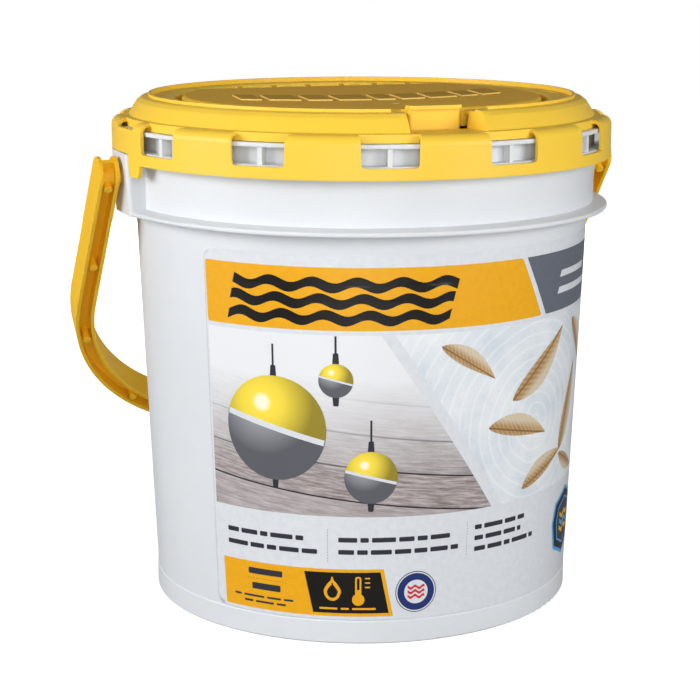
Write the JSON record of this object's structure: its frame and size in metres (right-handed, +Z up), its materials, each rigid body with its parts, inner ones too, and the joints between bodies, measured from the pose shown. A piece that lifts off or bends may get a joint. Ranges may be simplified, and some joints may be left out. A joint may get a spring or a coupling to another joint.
{
  "type": "insulated bait bucket",
  "caption": "Tapered plastic bucket with a foam liner, a press-on lid ring, a hinged latching hatch and a swinging bail handle.",
  "frame": {"origin": "centre of the foot on the floor", "axes": "+Z up, -Y towards the latch at the front, +X along the bail's pivots"},
  "size_m": [0.2728, 0.2504, 0.2515],
  "materials": {
    "white_shell": "satin moulded plastic",
    "foam": "beaded foam",
    "label_film": "printed film",
    "yellow_lid": "satin moulded plastic",
    "yellow_hatch": "fine-textured moulded plastic",
    "yellow_handle": "satin moulded plastic"
  },
  "bodies": {
    "bucket": {"outer_bucket": "white_shell", "foam_liner": "foam", "label": "label_film"},
    "lid": {"lid_ring": "yellow_lid"},
    "hatch": {"hatch": "yellow_hatch"},
    "bail": {"bail_handle": "yellow_handle"}
  },
  "joints": [
    {"name": "lid_lift", "type": "slide", "parent": "bucket", "child": "lid", "axis": [0, 0, 1], "range_m": [0, 0.06]},
    {"name": "hatch_hinge", "type": "hinge", "parent": "lid", "child": "hatch", "pos_m": [0, 0.0618, 0.246], "axis": [-1, 0, 0], "range_deg": [0, 110]},
    {"name": "handle_pivot", "type": "hinge", "parent": "bucket", "child": "bail", "pos_m": [0, 0, 0.2135], "axis": [1, 0, 0], "range_deg": [0, 283]}
  ]
}
